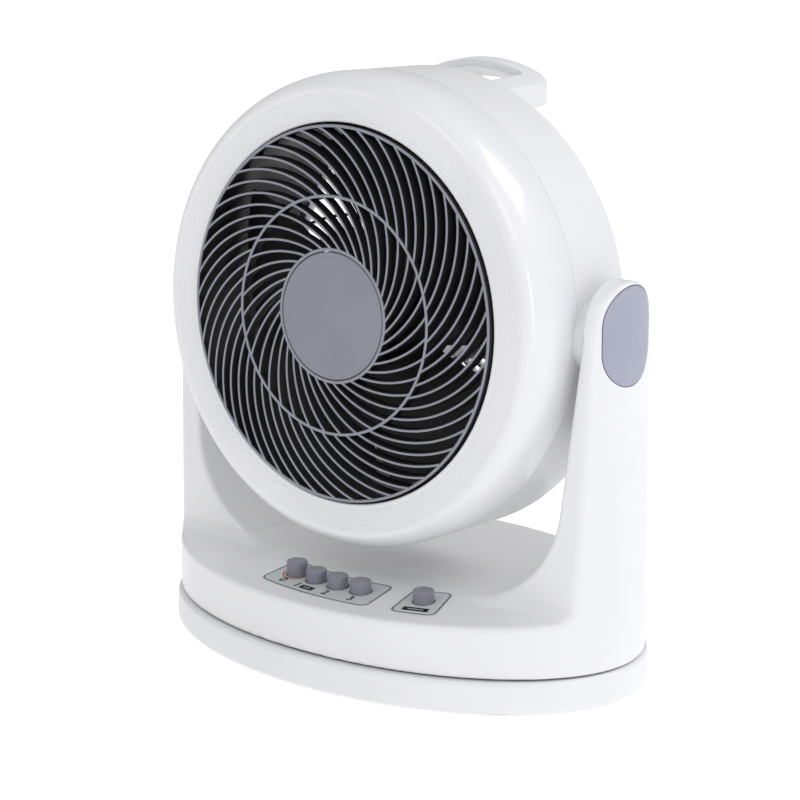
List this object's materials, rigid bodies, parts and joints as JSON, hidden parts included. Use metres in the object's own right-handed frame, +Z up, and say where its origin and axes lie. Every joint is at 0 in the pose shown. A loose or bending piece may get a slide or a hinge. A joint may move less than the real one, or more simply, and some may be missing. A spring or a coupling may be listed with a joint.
{
  "type": "air circulator fan",
  "caption": "Round air circulator fan: a drum head with a spiral-rib grille tilts between two arms on an oval, swinging base with push buttons.",
  "frame": {"origin": "on the floor, under the centre of the oval base", "axes": "+Z up, -Y is the front where the air leaves, +X is to the right when facing the front"},
  "size_m": [0.3612, 0.2294, 0.3894],
  "materials": {
    "white_shell": "glossy moulded white",
    "white_grille": "glossy moulded white",
    "inner_plastic": "matt moulded off-white",
    "grille_grey": "satin grey on the front edges, near black on the sides",
    "cap_grey": "satin grey",
    "pivot_grey": "satin grey-blue",
    "button_grey": "satin dark grey",
    "panel_print": "printed film",
    "foot_rubber": "matt",
    "steel": "zinc plated",
    "motor_shell": "drawn case",
    "winding": "laminations with enamelled wire",
    "nylon": "natural",
    "black_plastic": "satin black"
  },
  "bodies": {
    "stand": {"lower_base": "white_shell", "bottom_plate": "inner_plastic", "rubber_feet": "foot_rubber", "bottom_screws": "steel", "slide_ring": "nylon", "thrust_washer": "nylon", "swing_lever": "steel", "cord_gland": "foot_rubber"},
    "yoke": {"yoke_housing": "white_shell", "swivel_plate": "inner_plastic", "swing_spindle": "steel", "spindle_clip": "steel", "swing_motor": "motor_shell", "speed_switch": "black_plastic", "swing_switch": "black_plastic", "capacitor": "black_plastic", "terminal_block": "nylon", "speed_panel": "panel_print", "swing_panel": "panel_print", "arm_cover_left": "white_shell", "arm_cover_right": "white_shell", "pivot_cap_left": "pivot_grey", "pivot_cap_right": "pivot_grey", "plate_screws": "steel"},
    "crank": {"swing_crank": "nylon"},
    "off_key": {"button_off": "button_grey"},
    "key_1": {"button_1": "button_grey"},
    "key_2": {"button_2": "button_grey"},
    "key_3": {"button_3": "button_grey"},
    "swing_key": {"button_swing": "button_grey"},
    "head": {"front_shell": "white_shell", "rear_shell": "white_shell", "air_duct": "black_plastic", "front_grille": "grille_grey", "centre_cap": "cap_grey", "rear_grille": "white_grille", "handle": "white_shell", "handle_screws": "steel", "shell_screws": "steel", "trunnion_left": "white_shell", "trunnion_right": "white_shell", "friction_washers": "nylon", "pivot_washers": "steel", "pivot_screws": "steel", "motor_case_front": "motor_shell", "motor_case_rear": "motor_shell", "stator": "winding", "motor_bearings": "steel", "motor_screws": "steel"},
    "rotor": {"motor_shaft": "steel", "rotor_core": "steel", "fan": "black_plastic", "spinner_nut": "black_plastic"}
  },
  "joints": [
    {"name": "swing", "type": "hinge", "parent": "stand", "child": "yoke", "pos_m": [0, 0, 0.024], "axis": [0, 0, 1], "range_deg": [-35, 35]},
    {"name": "tilt", "type": "hinge", "parent": "yoke", "child": "head", "pos_m": [0, -0.0064, 0.23457], "axis": [-1, 0, 0], "range_deg": [-12, 87]},
    {"name": "fan_spin", "type": "hinge", "parent": "head", "child": "rotor", "pos_m": [0, -0.0064, 0.23457], "axis": [0, -0.999, 0.0454], "continuous": true},
    {"name": "crank_spin", "type": "hinge", "parent": "yoke", "child": "crank", "pos_m": [0, 0.044, 0.036], "axis": [0, 0, 1], "continuous": true},
    {"name": "press_off", "type": "slide", "parent": "yoke", "child": "off_key", "axis": [0, 0, -1], "range_m": [0, 0.0035], "stiffness_N_per_m": 600, "springref_m": -0.002},
    {"name": "press_1", "type": "slide", "parent": "yoke", "child": "key_1", "axis": [0, 0, -1], "range_m": [0, 0.0035], "stiffness_N_per_m": 600, "springref_m": -0.002},
    {"name": "press_2", "type": "slide", "parent": "yoke", "child": "key_2", "axis": [0, 0, -1], "range_m": [0, 0.0035], "stiffness_N_per_m": 600, "springref_m": -0.002},
    {"name": "press_3", "type": "slide", "parent": "yoke", "child": "key_3", "axis": [0, 0, -1], "range_m": [0, 0.0035], "stiffness_N_per_m": 600, "springref_m": -0.002},
    {"name": "press_swing", "type": "slide", "parent": "yoke", "child": "swing_key", "axis": [0, 0, -1], "range_m": [0, 0.0035], "stiffness_N_per_m": 600, "springref_m": -0.002}
  ]
}
